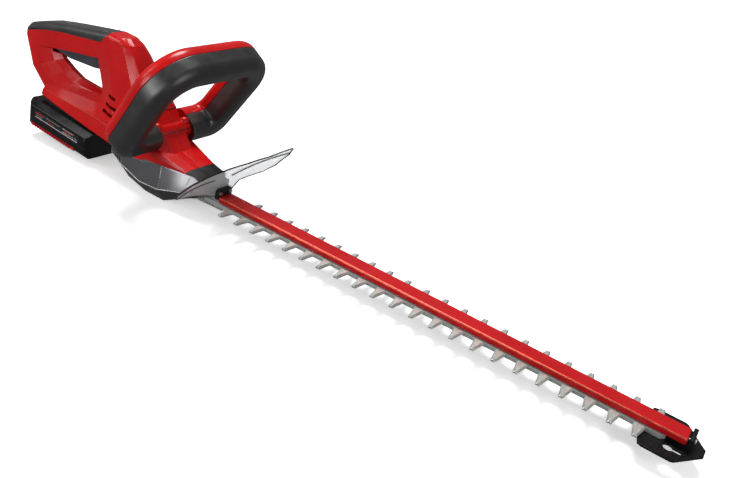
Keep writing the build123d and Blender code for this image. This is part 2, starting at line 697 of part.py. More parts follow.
def gearcase_screws():
    """Four screws from below that hold the base plate to the gearcase cover."""
    screws = []
    for x in (GEAR_X - 30, GEAR_X + 30):
        for y in (-20, 20):
            screws.append(post(x, y, -8.2, -5.65, 3.2))
    return Compound(children=screws)


def nose_band():
    """The black band across the front of the nose."""
    band = loft_along_x(NOSE_BAND) - loft_along_x(TORSO)
    return band - box(-70, -40, -16, 16, 10, 22)


# ---------------------------------------------------------------- front hoop handle
def hoop_outline(grow):
    """The loop in its own plane, from the feet's centre line up; grow moves it outward."""
    half = HOOP_BAR / 2
    low = 76 + half + grow
    high = 80 + half + grow
    bottom = -half - grow
    top = HOOP_HEIGHT + half + grow
    face = make_face(Polyline([(-low, bottom), (low, bottom), (high, top), (-high, top)], close=True))
    upper = face.vertices().group_by(Axis.Y)[-1]
    lower = face.vertices().group_by(Axis.Y)[0]
    face = fillet(upper, 40 + half + grow)
    lower = face.vertices().group_by(Axis.Y)[0]
    return fillet(lower, max(12 + half + grow, 6))


def hoop_loop(grow, depth):
    """The loop as a ring; grow thickens it all round."""
    ring = hoop_outline(grow) - hoop_outline(-HOOP_BAR - grow)
    return Pos(0, 0, -depth / 2) * extrude(ring, amount=depth, dir=(0, 0, 1))


def hoop_block():
    """The whole loop, rounded and set in place, without the stretch inside the body."""
    ring = hoop_loop(0, HOOP_DEPTH)
    rims = [e for e in ring.edges() if abs(abs(e.center().Z) - HOOP_DEPTH / 2) < 0.01]
    ring = fillet(rims, 13.5)
    ring = HOOP_PLANE.location * ring
    return ring - box(-200, -60, -HOOP_END_Y, HOOP_END_Y, 20, 100)


def hoop_hollow():
    """The space inside the loop, which stops short of its two closed ends."""
    closed = HOOP_END_Y + 6
    hollow = HOOP_PLANE.location * hoop_loop(-6, HOOP_DEPTH - 12)
    return hollow - box(-200, -60, -closed, closed, 20, 100)


def hoop_part(low, high):
    """The part of the loop between two depths in its plane, low behind and high in front."""
    slab = HOOP_PLANE.location * box(-130, 130, -60, 200, low, high)
    return (hoop_block() - hoop_hollow()) & slab


def hoop_front():
    return hoop_part(HOOP_SPLIT, HOOP_DEPTH)


def hoop_rear():
    """The red rear shell of the loop, with the pocket of the front switch bar."""
    shell = hoop_part(-HOOP_DEPTH, HOOP_SPLIT)
    pocket = HOOP_PLANE.location * switch_bar_box(RUNNING_GAP, 4.0)
    return shell - pocket


def switch_bar_box(extra, travel):
    """The bar under the top of the loop, in the loop's plane."""
    low = HOOP_HEIGHT - HOOP_BAR / 2 - 4.5 - extra
    high = HOOP_HEIGHT - HOOP_BAR / 2 + 9 + extra + travel
    return box(-46 - extra, 46 + extra, low, high, -19 - extra, HOOP_SPLIT - RUNNING_GAP)


def front_switch_bar():
    bar = switch_bar_box(0, 0)
    lower = bar.edges().group_by(Axis.Y)[0]
    return HOOP_PLANE.location * fillet(lower, 2)


# ---------------------------------------------------------------- hand guard
GUARD_TOP = [(-106, 42), (-100, 43.5), (-74, 41.5), (-46, 40), (0, 40), (40, 42), (74, 47), (106, 57)]
GUARD_BOTTOM = [(102, 49), (84, 34), (66, 27), (30, 22), (14, 9), (-14, 9), (-30, 16), (-60, 26), (-88, 35)]


def hand_guard():
    """The clear shield: a bowed sheet cut to a long, pointed outline."""
    sag = GUARD_TIP_X - GUARD_CENTRE_X
    radius = (GUARD_HALF_WIDTH ** 2 + sag ** 2) / (2 * sag)
    centre_x = GUARD_CENTRE_X + radius
    sheet = post(centre_x, 0, -20, 90, radius + GUARD_THICKNESS / 2)
    sheet -= post(centre_x, 0, -20, 90, radius - GUARD_THICKNESS / 2)
    outline = GUARD_TOP + GUARD_BOTTOM
    front = make_face(Polyline([(-60, y, z) for y, z in outline], close=True))
    guard = sheet & extrude(front, amount=80, dir=(1, 0, 0))
    return guard - guard_screw_bores(1.6)


def guard_screw_bores(radius):
    """Bores along X for the two guard screws."""
    bore = Pos(-33, 0, GUARD_SCREW_Z) * Cylinder(radius, 24, rotation=(0, 90, 0))
    return Pos(0, GUARD_SCREW_Y, 0) * bore + Pos(0, -GUARD_SCREW_Y, 0) * bore


def guard_clamp_front():
    """The black collar in front of the guard, over the start of the cover bar."""
    block = box(-26.9, COVER_START_X - 0.3, -12.8, 12.8, CARRIER_TOP + 0.2, 19)
    block = chamfer(block.edges().filter_by(Axis.X).group_by(Axis.Z)[-1], 3)
    return block - guard_screw_bores(1.6)


def guard_clamp_rear():
    """The pad behind the guard, against the nose."""
    return box(-43.5, -31, -14, 14, 9, 25) - guard_screw_bores(1.6)


def guard_screws():
    screws = []
    for y in (-GUARD_SCREW_Y, GUARD_SCREW_Y):
        shank = Pos(-32, y, GUARD_SCREW_Z) * Cylinder(1.6, 22, rotation=(0, 90, 0))
        head = Pos(COVER_START_X + 0.7, y, GUARD_SCREW_Z) * Cylinder(2.6, 2.0, rotation=(0, 90, 0))
        screws.append(shank + head)
    return Compound(children=screws)


# ---------------------------------------------------------------- controls and electrics
TRIGGER_OUTLINE = [
    (-349, 103), (-344, 100.2), (-311, 95), (-262, 97.5), (-239.4, 101), (-239.4, 117.5), (-246, 120),
    (-300, 113), (-340, 110), (-348, 108),
]


def trigger():
    lever = side_prism(TRIGGER_OUTLINE, -TRIGGER_HALF_WIDTH, TRIGGER_HALF_WIDTH)
    lower = [e for e in lever.edges() if abs(abs(e.center().Y) - TRIGGER_HALF_WIDTH) < 0.01
             and e.center().Z < 100.9 and abs(e.tangent_at(0.5).X) > 0.9]
    lever = fillet(lower, 3)
    return lever - along_y(Pos(TRIGGER_PIVOT[0], 0, TRIGGER_PIVOT[1]), -20, 20, 2.1)


def trigger_pin():
    return along_y(Pos(TRIGGER_PIVOT[0], 0, TRIGGER_PIVOT[1]), -12.9, 12.9, 2.0)


def trigger_spring():
    """The return spring between the trigger and the top of the grip."""
    height = 17.0
    path = Helix(pitch=2.4, height=height, radius=3.2)
    section = Plane(origin=path @ 0, z_dir=path % 0) * Circle(0.45)
    return Pos(-255, 0, 120.2) * sweep(section, path=path, is_frenet=True)


def main_switch():
    body = box(-292, -266, -8, 8, 128, 139)
    return body + box(-284, -276, -4, 4, 124.5, 128)


def rail_shoe_box():
    end = BATTERY_LENGTH / 2
    return box(-end + RAIL_SETBACK, end + 1, -25, 25, BATTERY_TOP + 0.5, RAIL_TOP + 4)


def battery_shoe():
    """The black shoe in the housing that the battery's rails slide into."""
    end = BATTERY_LENGTH / 2
    slot = level_rails(-end, end - 3 + SLIDE_CLEARANCE, SLIDE_CLEARANCE)
    shoe = rail_shoe_box() - slot
    for y in (-8, 8):
        shoe -= box(end - 20, end + 1, y - 0.6, y + 0.6, BATTERY_TOP, BATTERY_TOP + 5)
    return BATTERY_FRAME * shoe


def contact_pair(extra):
    """The two contact blades, or with extra the slots they stand in, in the battery's frame."""
    start = BATTERY_LENGTH / 2 - 16
    half = 0.6 + extra
    end = start + 22 + extra
    low = BATTERY_TOP + 0.6 - extra
    high = low + 3.8 + 2 * extra
    return Compound(children=[box(start, end, y - half, y + half, low, high) for y in (-8, 8)])


def contact_blades():
    return BATTERY_FRAME * contact_pair(0)


def control_board():
    board = box(-226, -184, -20, 20, 34, 35.6)
    board += box(-216, -204, -14, -2, 35.6, 42) + box(-216, -204, 2, 14, 35.6, 42)
    return board + box(-196, -190, -16, 16, 35.6, 40)


def heat_sink():
    """A finned aluminium block on the board's two power transistors."""
    sink = box(-217, -203, -15, 15, 42, 44)
    for index in range(7):
        y = -15 + index * 4.8
        sink += box(-217, -203, y, y + 1.2, 44, 52)
    return sink


def all_parts():
    """Every node of the trimmer, by name, in the working frame."""
    shell = housing_shell()
    return {
        "housing_right": housing_right(shell),
        "housing_left": housing_left(shell),
        "rear_grip": rear_grip(),
        "housing_screws": housing_screws(),
        "gearcase_cover": gearcase_cover(),
        "gearcase_screws": gearcase_screws(),
        "nose_band": nose_band(),
        "hoop_front": hoop_front(),
        "hoop_rear": hoop_rear(),
        "front_switch_bar": front_switch_bar(),
        "hand_guard": hand_guard(),
        "guard_clamp_front": guard_clamp_front(),
        "guard_clamp_rear": guard_clamp_rear(),
        "guard_screws": guard_screws(),
        "trigger": trigger(),
        "trigger_pin": trigger_pin(),
        "trigger_spring": trigger_spring(),
        "main_switch": main_switch(),
        "battery_shoe": battery_shoe(),
        "contact_blades": contact_blades(),
        "control_board": control_board(),
        "heat_sink": heat_sink(),
        "motor_can": motor_can(),
        "motor_end_cap": motor_end_cap(),
        "motor_core": motor_core(),
        "motor_shaft": motor_shaft(),
        "motor_fan": motor_fan(),
        "drive_pinion": drive_pinion(),
        "bearing_plate": bearing_plate(),
        "base_plate": base_plate(),
        "gear_axle": gear_axle(),
        "drive_gear": drive_gear(),
        "eccentric_upper": eccentric(1),
        "eccentric_lower": eccentric(-1),
        "upper_blade": blade(UPPER_BLADE_Z),
        "upper_teeth": blade_teeth(UPPER_BLADE_Z),
        "lower_blade": blade(LOWER_BLADE_Z),
        "lower_teeth": blade_teeth(LOWER_BLADE_Z),
        "blade_carrier": blade_carrier(),
        "cover_bar": cover_bar(),
        "blade_bolts": blade_bolts(),
        "tip_protector": tip_protector(),
        "tip_screw": tip_screw(),
        "battery_case_upper": battery_case_upper(),
        "battery_case_lower": battery_case_lower(),
        "battery_side_ribs": battery_side_ribs(),
        "battery_release_button": battery_release_button(),
        "battery_cells": battery_cells(),
        "battery_board": battery_board(),
        "battery_contacts": battery_contacts(),
    }


def main():
    parts = all_parts()
    boxes = [solid.bounding_box() for solid in parts.values()]
    middle_x = (min(b.min.X for b in boxes) + max(b.max.X for b in boxes)) / 2
    middle_y = (min(b.min.Y for b in boxes) + max(b.max.Y for b in boxes)) / 2
    floor_z = min(b.min.Z for b in boxes)
    to_origin = Pos(-middle_x, -middle_y, -floor_z)
    os.makedirs("parts", exist_ok=True)
    for name, solid in parts.items():
        export_step(to_origin * solid, "parts/" + name + ".step")
    print("moved by", to_origin.position)


if __name__ == "__main__":
    main()
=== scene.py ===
import json
import math

import bmesh
import bpy
from mathutils import Matrix, Vector

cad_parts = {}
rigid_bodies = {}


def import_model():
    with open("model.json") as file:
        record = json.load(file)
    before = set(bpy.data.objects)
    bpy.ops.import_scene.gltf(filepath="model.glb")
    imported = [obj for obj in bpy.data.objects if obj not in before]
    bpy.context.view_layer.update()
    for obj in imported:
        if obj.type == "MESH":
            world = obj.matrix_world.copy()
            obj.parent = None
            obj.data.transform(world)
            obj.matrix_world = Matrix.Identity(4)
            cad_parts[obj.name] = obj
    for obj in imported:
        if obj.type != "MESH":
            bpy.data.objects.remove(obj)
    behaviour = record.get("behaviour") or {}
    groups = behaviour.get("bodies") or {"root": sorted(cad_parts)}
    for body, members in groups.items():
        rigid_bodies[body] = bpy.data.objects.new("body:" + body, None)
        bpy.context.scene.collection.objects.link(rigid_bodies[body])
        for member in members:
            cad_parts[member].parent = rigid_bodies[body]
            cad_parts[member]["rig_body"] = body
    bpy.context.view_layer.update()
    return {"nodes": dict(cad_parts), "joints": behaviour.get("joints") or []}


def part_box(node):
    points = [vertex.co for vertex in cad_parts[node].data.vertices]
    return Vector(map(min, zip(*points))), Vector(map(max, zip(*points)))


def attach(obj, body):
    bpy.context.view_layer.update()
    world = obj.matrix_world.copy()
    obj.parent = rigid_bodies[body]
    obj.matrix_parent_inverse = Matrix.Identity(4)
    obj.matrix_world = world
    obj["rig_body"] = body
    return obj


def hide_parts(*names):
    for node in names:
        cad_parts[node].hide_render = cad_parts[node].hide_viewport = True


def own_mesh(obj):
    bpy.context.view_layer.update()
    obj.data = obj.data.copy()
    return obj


# Cordless hedge trimmer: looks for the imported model. Metres, +X along the bar, +Z up.
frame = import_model()
NODES = frame["nodes"]
MM = 0.001

CAMERA_PLACE = (0.43492, -0.67944, 0.46660)
CAMERA_RIGHT = (0.82052, 0.53513, 0.20093)
CAMERA_UP = (-0.40653, 0.29923, 0.86325)
CAMERA_BACK = (0.40183, -0.79000, 0.46307)
CAMERA_LENS = 37.48


# ---------------------------------------------------------------- node helpers
class Finish:
    """A material under construction: its nodes, its links and the shader they end in."""

    def __init__(self, name, colour, roughness, **sockets):
        self.material = bpy.data.materials.new(name)
        self.material.use_nodes = True
        self.nodes = self.material.node_tree.nodes
        self.links = self.material.node_tree.links
        self.shader = self.nodes["Principled BSDF"]
        self.shader.inputs["Base Color"].default_value = (*colour, 1)
        self.shader.inputs["Roughness"].default_value = roughness
        for socket, value in sockets.items():
            self.shader.inputs[socket.replace("_", " ")].default_value = value
        self.place = self.add("ShaderNodeTexCoord").outputs["Object"]
        self.normal = None

    def add(self, kind, **values):
        node = self.nodes.new(kind)
        for name, value in values.items():
            setattr(node, name, value)
        return node

    def noise(self, scale, detail=4.0, stretch=(1, 1, 1)):
        """Noise of a size in metres, stretched along an axis where stretch is under 1."""
        mapping = self.add("ShaderNodeMapping")
        mapping.inputs["Scale"].default_value = stretch
        self.links.new(self.place, mapping.inputs["Vector"])
        texture = self.add("ShaderNodeTexNoise")
        texture.inputs["Scale"].default_value = scale
        texture.inputs["Detail"].default_value = detail
        self.links.new(mapping.outputs["Vector"], texture.inputs["Vector"])
        return texture.outputs["Fac"]

    def ramp(self, factor, low, high, start=0.35, end=0.65):
        """A colour or a grey that goes from low to high as the factor goes from start to end."""
        node = self.add("ShaderNodeValToRGB")
        for element, position, value in zip(node.color_ramp.elements, (start, end), (low, high)):
            element.position = position
            element.color = (*value, 1) if isinstance(value, tuple) else (value, value, value, 1)
        self.links.new(factor, node.inputs["Fac"])
        return node.outputs["Color"]

    def colour_from(self, output):
        self.links.new(output, self.shader.inputs["Base Color"])

    def roughness_from(self, output):
        self.links.new(output, self.shader.inputs["Roughness"])

    def soften(self, radius):
        """Rounds the look of hard edges by a radius."""
        node = self.add("ShaderNodeBevel", samples=6)
        node.inputs["Radius"].default_value = radius
        self.normal = node.outputs["Normal"]
        self.links.new(self.normal, self.shader.inputs["Normal"])

    def bump(self, height, strength, distance):
        node = self.add("ShaderNodeBump")
        node.inputs["Strength"].default_value = strength
        node.inputs["Distance"].default_value = distance
        self.links.new(height, node.inputs["Height"])
        if self.normal:
            self.links.new(self.normal, node.inputs["Normal"])
        self.normal = node.outputs["Normal"]
        self.links.new(self.normal, self.shader.inputs["Normal"])


# ---------------------------------------------------------------- materials
def red_plastic():
    """Glossy injection-moulded red, a little deeper in patches, with a faint orange-peel."""
    finish = Finish("red_plastic", (0.56, 0.004, 0.005), 0.26, Specular_IOR_Level=0.3)
    finish.colour_from(finish.ramp(finish.noise(18), (0.52, 0.003, 0.004), (0.60, 0.006, 0.006)))
    finish.roughness_from(finish.ramp(finish.noise(60), 0.22, 0.30))
    finish.soften(0.9 * MM)
    finish.bump(finish.noise(500, 2), 0.06, 0.05 * MM)
    return finish.material


def soft_rubber():
    """Soft-touch overmould: dark grey, matt, finely pebbled."""
    finish = Finish("soft_rubber", (0.011, 0.011, 0.012), 0.36, Specular_IOR_Level=0.9)
    finish.colour_from(finish.ramp(finish.noise(25), (0.009, 0.009, 0.010), (0.014, 0.014, 0.015)))
    finish.roughness_from(finish.ramp(finish.noise(80), 0.34, 0.46))
    finish.soften(0.9 * MM)
    finish.bump(finish.noise(1100, 2), 0.2, 0.06 * MM)
    return finish.material


def grained_black():
    """Textured black moulding."""
    finish = Finish("grained_black", (0.006, 0.006, 0.007), 0.4, Specular_IOR_Level=0.35)
    finish.colour_from(finish.ramp(finish.noise(30), (0.004, 0.004, 0.005), (0.009, 0.009, 0.010)))
    finish.roughness_from(finish.ramp(finish.noise(90), 0.34, 0.48))
    finish.soften(0.5 * MM)
    finish.bump(finish.noise(2200, 2), 0.4, 0.05 * MM)
    return finish.material


def battery_black():
    """Polished black battery shell."""
    finish = Finish("battery_black", (0.004, 0.004, 0.005), 0.16, Specular_IOR_Level=0.3)
    finish.colour_from(finish.ramp(finish.noise(22), (0.003, 0.003, 0.004), (0.006, 0.006, 0.007)))
    finish.roughness_from(finish.ramp(finish.noise(70), 0.12, 0.22))
    finish.soften(0.8 * MM)
    finish.bump(finish.noise(800, 2), 0.15, 0.04 * MM)
    return finish.material


def metallic_grey():
    """Grey metallic paint on the gearcase, with fine flakes."""
    finish = Finish("metallic_grey", (0.19, 0.19, 0.20), 0.3, Metallic=0.8)
    finish.colour_from(finish.ramp(finish.noise(1500, 1), (0.17, 0.17, 0.18), (0.20, 0.20, 0.21)))
    finish.roughness_from(finish.ramp(finish.noise(50), 0.28, 0.34))
    finish.soften(0.5 * MM)
    finish.bump(finish.noise(2600, 2), 0.08, 0.03 * MM)
    return finish.material


def trigger_plastic():
    """Blue-grey satin trigger."""
    finish = Finish("trigger_plastic", (0.035, 0.042, 0.055), 0.42)
    finish.colour_from(finish.ramp(finish.noise(30), (0.030, 0.036, 0.048), (0.042, 0.050, 0.064)))
    finish.roughness_from(finish.ramp(finish.noise(90), 0.36, 0.48))
    finish.soften(1.2 * MM)
    finish.bump(finish.noise(1800, 2), 0.4, 0.05 * MM)
    return finish.material


def clear_plastic():
    """Clear polycarbonate with a faint haze."""
    finish = Finish(
        "clear_plastic", (0.88, 0.90, 0.91), 0.12, Transmission_Weight=0.7, IOR=1.49
    )
    finish.roughness_from(finish.ramp(finish.noise(40), 0.10, 0.18))
    finish.bump(finish.noise(60, 2), 0.15, 0.1 * MM)
    return finish.material


def red_coat():
    """Red powder coat on the aluminium cover."""
    finish = Finish("red_coat", (0.44, 0.005, 0.007), 0.3, Specular_IOR_Level=0.25)
    finish.colour_from(finish.ramp(finish.noise(14), (0.40, 0.004, 0.006), (0.48, 0.007, 0.009)))
    finish.roughness_from(finish.ramp(finish.noise(45), 0.26, 0.36))
    finish.soften(0.5 * MM)
    finish.bump(finish.noise(1400, 2), 0.35, 0.05 * MM)
    return finish.material


def ground_steel():
    """Ground blade steel, the marks across the bar."""
    finish = Finish("ground_steel", (0.50, 0.53, 0.50), 0.36, Metallic=0.6)
    scratches = finish.noise(1500, 3, (1, 0.06, 0.2))
    finish.colour_from(finish.ramp(scratches, (0.46, 0.49, 0.46), (0.58, 0.61, 0.58)))
    finish.roughness_from(finish.ramp(scratches, 0.32, 0.44))
    finish.soften(0.2 * MM)
    finish.bump(scratches, 0.12, 0.02 * MM)
    return finish.material


def plain_metal(name, low, high, roughness):
    """Bare metal with a fine grain, for screws, plates, gears and the motor."""
    finish = Finish(name, high, roughness, Metallic=1.0)
    finish.colour_from(finish.ramp(finish.noise(300, 3), low, high))
    finish.roughness_from(finish.ramp(finish.noise(500, 3), roughness - 0.08, roughness + 0.1))
    finish.soften(0.3 * MM)
    finish.bump(finish.noise(1500, 2), 0.3, 0.03 * MM)
    return finish.material


def plain_plastic(name, low, high, roughness):
    """Satin moulding, for boards, sleeves and buttons."""
    finish = Finish(name, high, roughness)
    finish.colour_from(finish.ramp(finish.noise(120, 3), low, high))
    finish.roughness_from(finish.ramp(finish.noise(200), roughness - 0.06, roughness + 0.08))
    finish.soften(0.4 * MM)
    finish.bump(finish.noise(1500, 2), 0.3, 0.04 * MM)
    return finish.material


def floor_material():
    """Matt near-white, lit a little from within so that shadows on it stay pale."""
    finish = Finish("studio_floor", (0.90, 0.90, 0.90), 0.9, Specular_IOR_Level=0.0)
    finish.colour_from(finish.ramp(finish.noise(2), (0.89, 0.89, 0.89), (0.91, 0.91, 0.91)))
    finish.shader.inputs["Emission Color"].default_value = (1, 1, 1, 1)
    finish.shader.inputs["Emission Strength"].default_value = 0.45
    return finish.material


RED = red_plastic()
RUBBER = soft_rubber()
BLACK = grained_black()
BATTERY = battery_black()
GREY = metallic_grey()
TRIGGER = trigger_plastic()
CLEAR = clear_plastic()
COVER = red_coat()
BLADE = ground_steel()
STEEL = plain_metal("zinc_steel", (0.42, 0.42, 0.42), (0.56, 0.56, 0.57), 0.32)
DARK_STEEL = plain_metal("dark_steel", (0.05, 0.05, 0.05), (0.10, 0.10, 0.11), 0.4)
TIP_BLACK = plain_metal("tip_black", (0.020, 0.020, 0.022), (0.034, 0.034, 0.037), 0.42)
GEAR_STEEL = plain_metal("gear_steel", (0.30, 0.30, 0.30), (0.42, 0.42, 0.43), 0.36)
ALLOY = plain_metal("sink_alloy", (0.62, 0.63, 0.64), (0.75, 0.76, 0.77), 0.38)
BRASS = plain_metal("contact_brass", (0.62, 0.45, 0.18), (0.78, 0.60, 0.28), 0.3)
WINDING = plain_metal("winding", (0.24, 0.10, 0.05), (0.42, 0.20, 0.10), 0.4)
SLEEVE = plain_plastic("cell_sleeve", (0.03, 0.10, 0.26), (0.05, 0.14, 0.34), 0.35)
BOARD = plain_plastic("board_green", (0.01, 0.09, 0.03), (0.02, 0.14, 0.05), 0.4)
BUTTON = plain_plastic("button_grey", (0.40, 0.41, 0.42), (0.48, 0.49, 0.50), 0.4)
BATTERY_PANEL = plain_plastic("label_panel", (0.010, 0.010, 0.011), (0.016, 0.016, 0.018), 0.25)
PRINT_WHITE = plain_plastic("print_white", (0.72, 0.72, 0.72), (0.82, 0.82, 0.82), 0.4)
PRINT_GREY = plain_plastic("print_grey", (0.22, 0.22, 0.23), (0.30, 0.30, 0.31), 0.4)
SEAM = plain_plastic("seam_shadow", (0.05, 0.001, 0.001), (0.08, 0.001, 0.002), 0.5)
# Painted highlight: a lighter red for the middle of the cover bar's rounded edges.
COVER_EDGE_HIGHLIGHT = plain_metal("cover_edge_highlight", (0.62, 0.09, 0.05), (0.78, 0.16, 0.09), 0.34)
# Painted highlight: a lighter red for the light caught along the deck ledge's upper edge.
DECK_EDGE_HIGHLIGHT = plain_plastic("deck_edge_highlight", (0.62, 0.03, 0.015), (0.72, 0.06, 0.03), 0.3)
# Painted highlight: light grey for the lines along the gearcase's lit edges.
EDGE_HIGHLIGHT = plain_metal("gearcase_edge_highlight", (0.50, 0.50, 0.51), (0.62, 0.62, 0.63), 0.3)
# Painted shade: near-black for the gearcase faces that point down, where the light does not reach.
UNDERSIDE_SHADE = plain_plastic("gearcase_underside_shade", (0.012, 0.012, 0.013), (0.020, 0.020, 0.021), 0.4)
# The grip panel's real border, drawn lighter grey than the rubber as a painted highlight on its raised
# edge.
PANEL_EDGE_HIGHLIGHT = plain_plastic("panel_edge_highlight", (0.05, 0.05, 0.052), (0.08, 0.08, 0.083), 0.3)
# Painted shade: near-black for the light the clear guard loses along its edges and ribs.
GUARD_EDGE_SHADE = plain_plastic("guard_edge_shade", (0.012, 0.013, 0.014), (0.030, 0.032, 0.034), 0.2)
RIB_RED = plain_plastic("rib_red", (0.40, 0.004, 0.006), (0.50, 0.008, 0.008), 0.35)

NODE_MATERIALS = {
    "housing_right": RED,
    "housing_left": RED,
    "rear_grip": RUBBER,
    "housing_screws": DARK_STEEL,
    "gearcase_cover": GREY,
    "gearcase_screws": STEEL,
    "nose_band": BLACK,
    "hoop_front": RUBBER,
    "hoop_rear": RED,
    "front_switch_bar": BLACK,
    "hand_guard": CLEAR,
    "guard_clamp_front": BLACK,
    "guard_clamp_rear": BLACK,
    "guard_screws": STEEL,
    "trigger": TRIGGER,
    "trigger_pin": STEEL,
    "trigger_spring": STEEL,
    "main_switch": BLACK,
    "battery_shoe": BLACK,
    "contact_blades": BRASS,
    "control_board": BOARD,
    "heat_sink": ALLOY,
    "motor_can": STEEL,
    "motor_end_cap": BLACK,
    "motor_core": WINDING,
    "motor_shaft": STEEL,
    "motor_fan": BLACK,
    "drive_pinion": GEAR_STEEL,
    "bearing_plate": STEEL,
    "base_plate": STEEL,
    "gear_axle": STEEL,
    "drive_gear": GEAR_STEEL,
    "eccentric_upper": GEAR_STEEL,
    "eccentric_lower": GEAR_STEEL,
    "upper_blade": BLADE,
    "upper_teeth": BLADE,
    "lower_blade": BLADE,
    "lower_teeth": BLADE,
    "blade_carrier": STEEL,
    "cover_bar": COVER,
    "blade_bolts": STEEL,
    "tip_protector": TIP_BLACK,
    "tip_screw": STEEL,
    "battery_case_upper": BATTERY,
    "battery_case_lower": BATTERY,
    "battery_side_ribs": RIB_RED,
    "battery_release_button": BUTTON,
    "battery_cells": SLEEVE,
    "battery_board": BOARD,
    "battery_contacts": BRASS,
}


def paint(item, material):
    item.data.materials.clear()
    item.data.materials.append(material)


def paint_nodes():
    for name, material in NODE_MATERIALS.items():
        paint(NODES[name], material)


# ---------------------------------------------------------------- rounded shells
# Each rounded node with its edge radius in mm and the angle in degrees that counts as an edge.
ROUNDED = {
    "housing_right": (0.9, 14),
    "housing_left": (0.9, 14),
    "rear_grip": (0.8, 30),
    "gearcase_cover": (0.7, 8),
    "nose_band": (0.6, 20),
    "hoop_front": (1.4, 35),
    "hoop_rear": (1.2, 35),
    "trigger": (1.2, 30),
    "battery_case_upper": (1.2, 30),
    "battery_case_lower": (1.0, 30),
    "battery_release_button": (0.5, 30),
    "cover_bar": (0.7, 20),
    "tip_protector": (0.4, 40),
    "guard_clamp_front": (0.6, 30),
    "guard_clamp_rear": (0.6, 30),
    "hand_guard": (0.4, 50),
}
SAME_POINT = 0.002 * MM
FLAT_ANGLE = math.radians(0.6)
ROUND_SEGMENTS = 3


def add_rounded(node, radius, angle):
    """A piece with the node's shape and its hard edges rounded, in the node's place."""
    shape = bmesh.new()
    shape.from_mesh(NODES[node].data)
    bmesh.ops.remove_doubles(shape, verts=shape.verts, dist=SAME_POINT)
    bmesh.ops.dissolve_limit(
        shape, angle_limit=FLAT_ANGLE, verts=shape.verts, edges=shape.edges
    )
    mesh = bpy.data.meshes.new("rounded_" + node)
    shape.to_mesh(mesh)
    shape.free()
    mesh.materials.append(NODE_MATERIALS[node])
    piece = bpy.data.objects.new("rounded_" + node, mesh)
    bpy.context.scene.collection.objects.link(piece)
    bevel = piece.modifiers.new("round", "BEVEL")
    bevel.width = radius * MM
    bevel.segments = ROUND_SEGMENTS
    bevel.limit_method = "ANGLE"
    bevel.angle_limit = math.radians(angle)
    bevel.harden_normals = True
    for polygon in mesh.polygons:
        polygon.use_smooth = True
    mesh.set_sharp_from_angle(angle=math.radians(angle))
    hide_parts(node)
    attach(piece, NODES[node]["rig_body"])


def add_rounded_shells():
    for node, (radius, angle) in ROUNDED.items():
        add_rounded(node, radius, angle)


def add_piece(name, shape, material, body):
    """An object made from a bmesh, in the row frame, that rides on a body."""
    mesh = bpy.data.meshes.new(name)
    bmesh.ops.recalc_face_normals(shape, faces=shape.faces)
    shape.to_mesh(mesh)
    shape.free()
    mesh.materials.append(material)
    piece = bpy.data.objects.new(name, mesh)
    bpy.context.scene.collection.objects.link(piece)
    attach(piece, body)
    return piece


def paint_faces(node, material, chosen):
    """Gives the faces of a rounded node that chosen(face) picks a second material."""
    mesh = bpy.data.objects["rounded_" + node].data
    mesh.materials.append(material)
    for polygon in mesh.polygons:
        if chosen(polygon):
            polygon.material_index = 1


# Faces are told apart by a part of their normal.
DOWNWARD = -0.3
SHEET_FACE = 0.5
COAT_EDGE_UP = 0.4
COAT_EDGE_OUT = (0.45, 0.9)


def is_underside(face):
    return face.normal.z < DOWNWARD


def is_bar_edge(face):
    """The middle of the cover's long rounded edges, painted a lighter red as a highlight."""
    least, most = COAT_EDGE_OUT
    return face.normal.z > COAT_EDGE_UP and least < abs(face.normal.y) < most


def is_guard_rim(face):
    return abs(face.normal.x) < SHEET_FACE


# ---------------------------------------------------------------- fine lines
# The painted highlight lines along the gearcase's lower edge.
RIM_HIGHLIGHT_RADIUS = 0.6 * MM
RIM_HIGHLIGHT_HIGHEST = 0.035
RIM_HIGHLIGHT_FEWEST_POINTS = 4
CREASE_RADIUS = 0.35 * MM
CREASE_SHORTEST = 9 * MM
CREASE_TURN = (3, 50)
CREASE_SIDE_SHARE = 0.35
GUARD_LINE_RADIUS = 0.45 * MM
GUARD_EDGE_SHORTEST = 0.2 * MM
GUARD_FEWEST_POINTS = 9


def rounded_shape(node):
    """A rounded node's mesh, before its bevel, to pick edges from."""
    shape = bmesh.new()
    shape.from_mesh(bpy.data.objects["rounded_" + node].data)
    shape.normal_update()
    return shape


def add_gearcase_rim_highlight():
    """A painted highlight: light grey lines along the edge between the grey facets and the underside,
    which is painted dark as shade.
    """
    shape = rounded_shape("gearcase_cover")
    edges = []
    for edge in shape.edges:
        downs = {is_underside(face) for face in edge.link_faces}
        if len(downs) == 2 and min(v.co.z for v in edge.verts) < RIM_HIGHLIGHT_HIGHEST:
            edges.append(edge)
    runs = [run for run in chained(edges) if len(run) >= RIM_HIGHLIGHT_FEWEST_POINTS]
    shape.free()
    add_tubes("gearcase_edge_highlight", runs, RIM_HIGHLIGHT_RADIUS, EDGE_HIGHLIGHT, "housing")


def add_gearcase_creases():
    """Painted highlights: fine light grey lines where the gearcase's side facets meet."""
    shape = rounded_shape("gearcase_cover")
    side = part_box("gearcase_cover")[1].y * CREASE_SIDE_SHARE
    runs = chained(edge for edge in shape.edges if is_side_crease(edge, side))
    shape.free()
    add_tubes("gearcase_creases", runs, CREASE_RADIUS, EDGE_HIGHLIGHT, "housing")


def is_side_crease(edge, side):
    """Whether an edge is a long convex one between two side facets, further out than side."""
    if len(edge.link_faces) != 2 or any(is_underside(face) for face in edge.link_faces):
        return False
    if min(abs(v.co.y) for v in edge.verts) <= side or edge.calc_length() <= CREASE_SHORTEST:
        return False
    least, most = CREASE_TURN
    return least < math.degrees(edge.calc_face_angle(0)) < most and edge.is_convex


